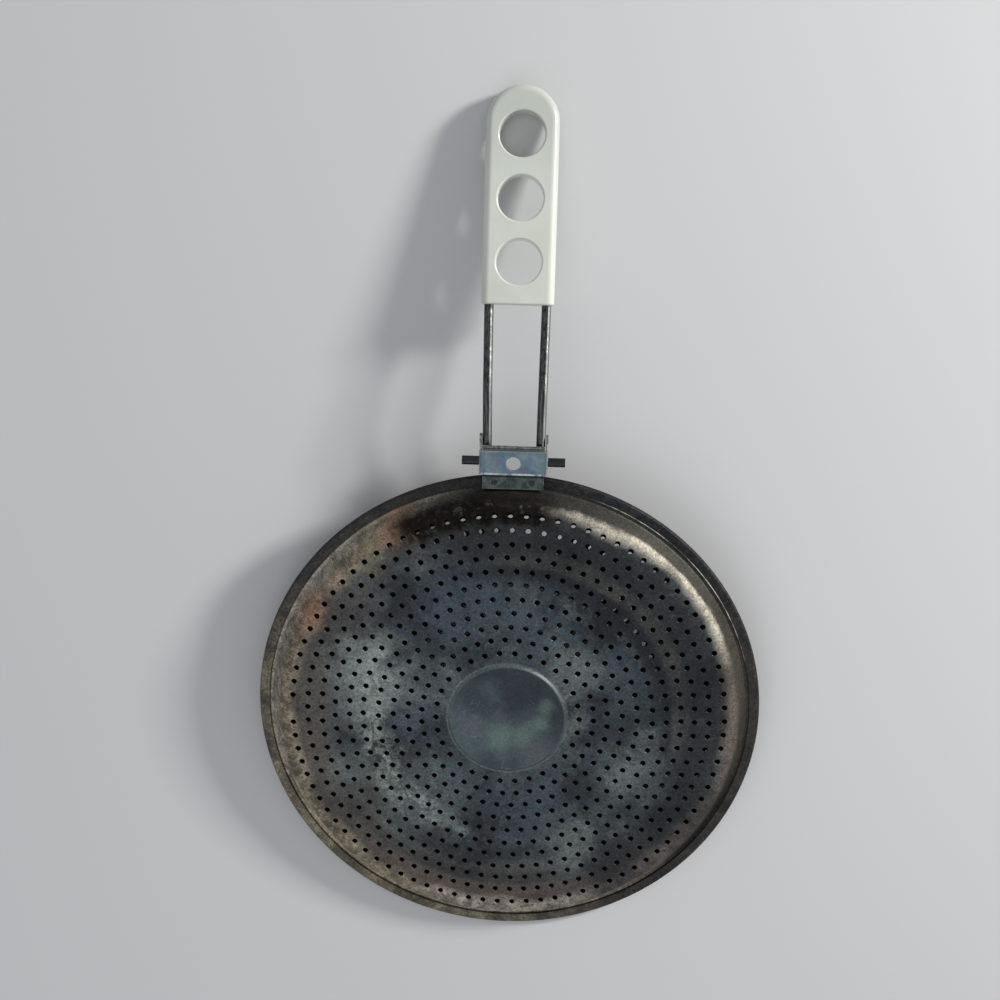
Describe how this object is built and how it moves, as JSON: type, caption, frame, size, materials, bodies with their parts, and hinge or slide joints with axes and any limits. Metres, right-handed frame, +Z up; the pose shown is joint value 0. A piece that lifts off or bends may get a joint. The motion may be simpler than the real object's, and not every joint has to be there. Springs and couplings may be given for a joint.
{
  "type": "simmer plate",
  "caption": "Round hob simmer plate of perforated pressed steel discs hemmed together, with a wire handle that folds under it and a white plastic grip with finger holes.",
  "frame": {"origin": "on the table, in the middle of the footprint, with the far edge of the hem and the tip of the grip on the table", "axes": "+Z up, +Y from the plate to the tip of the grip, +X across the handle"},
  "size_m": [0.204, 0.3478, 0.0255],
  "materials": {
    "disc_steel": "heat-stained, worn steel sheet",
    "bracket_zinc": "dull zinc plating",
    "wire_steel": "worn plated wire",
    "grip_plastic": "smooth white moulding"
  },
  "bodies": {
    "plate": {"upper_disc": "disc_steel", "lower_disc": "disc_steel", "hinge_bracket": "bracket_zinc"},
    "handle": {"wire_handle": "wire_steel", "grip": "grip_plastic"}
  },
  "joints": [
    {"name": "handle_fold", "type": "hinge", "parent": "plate", "child": "handle", "pos_m": [0, 0.03438, 0.02008], "axis": [-1, 0, 0], "range_deg": [0, 151]}
  ]
}
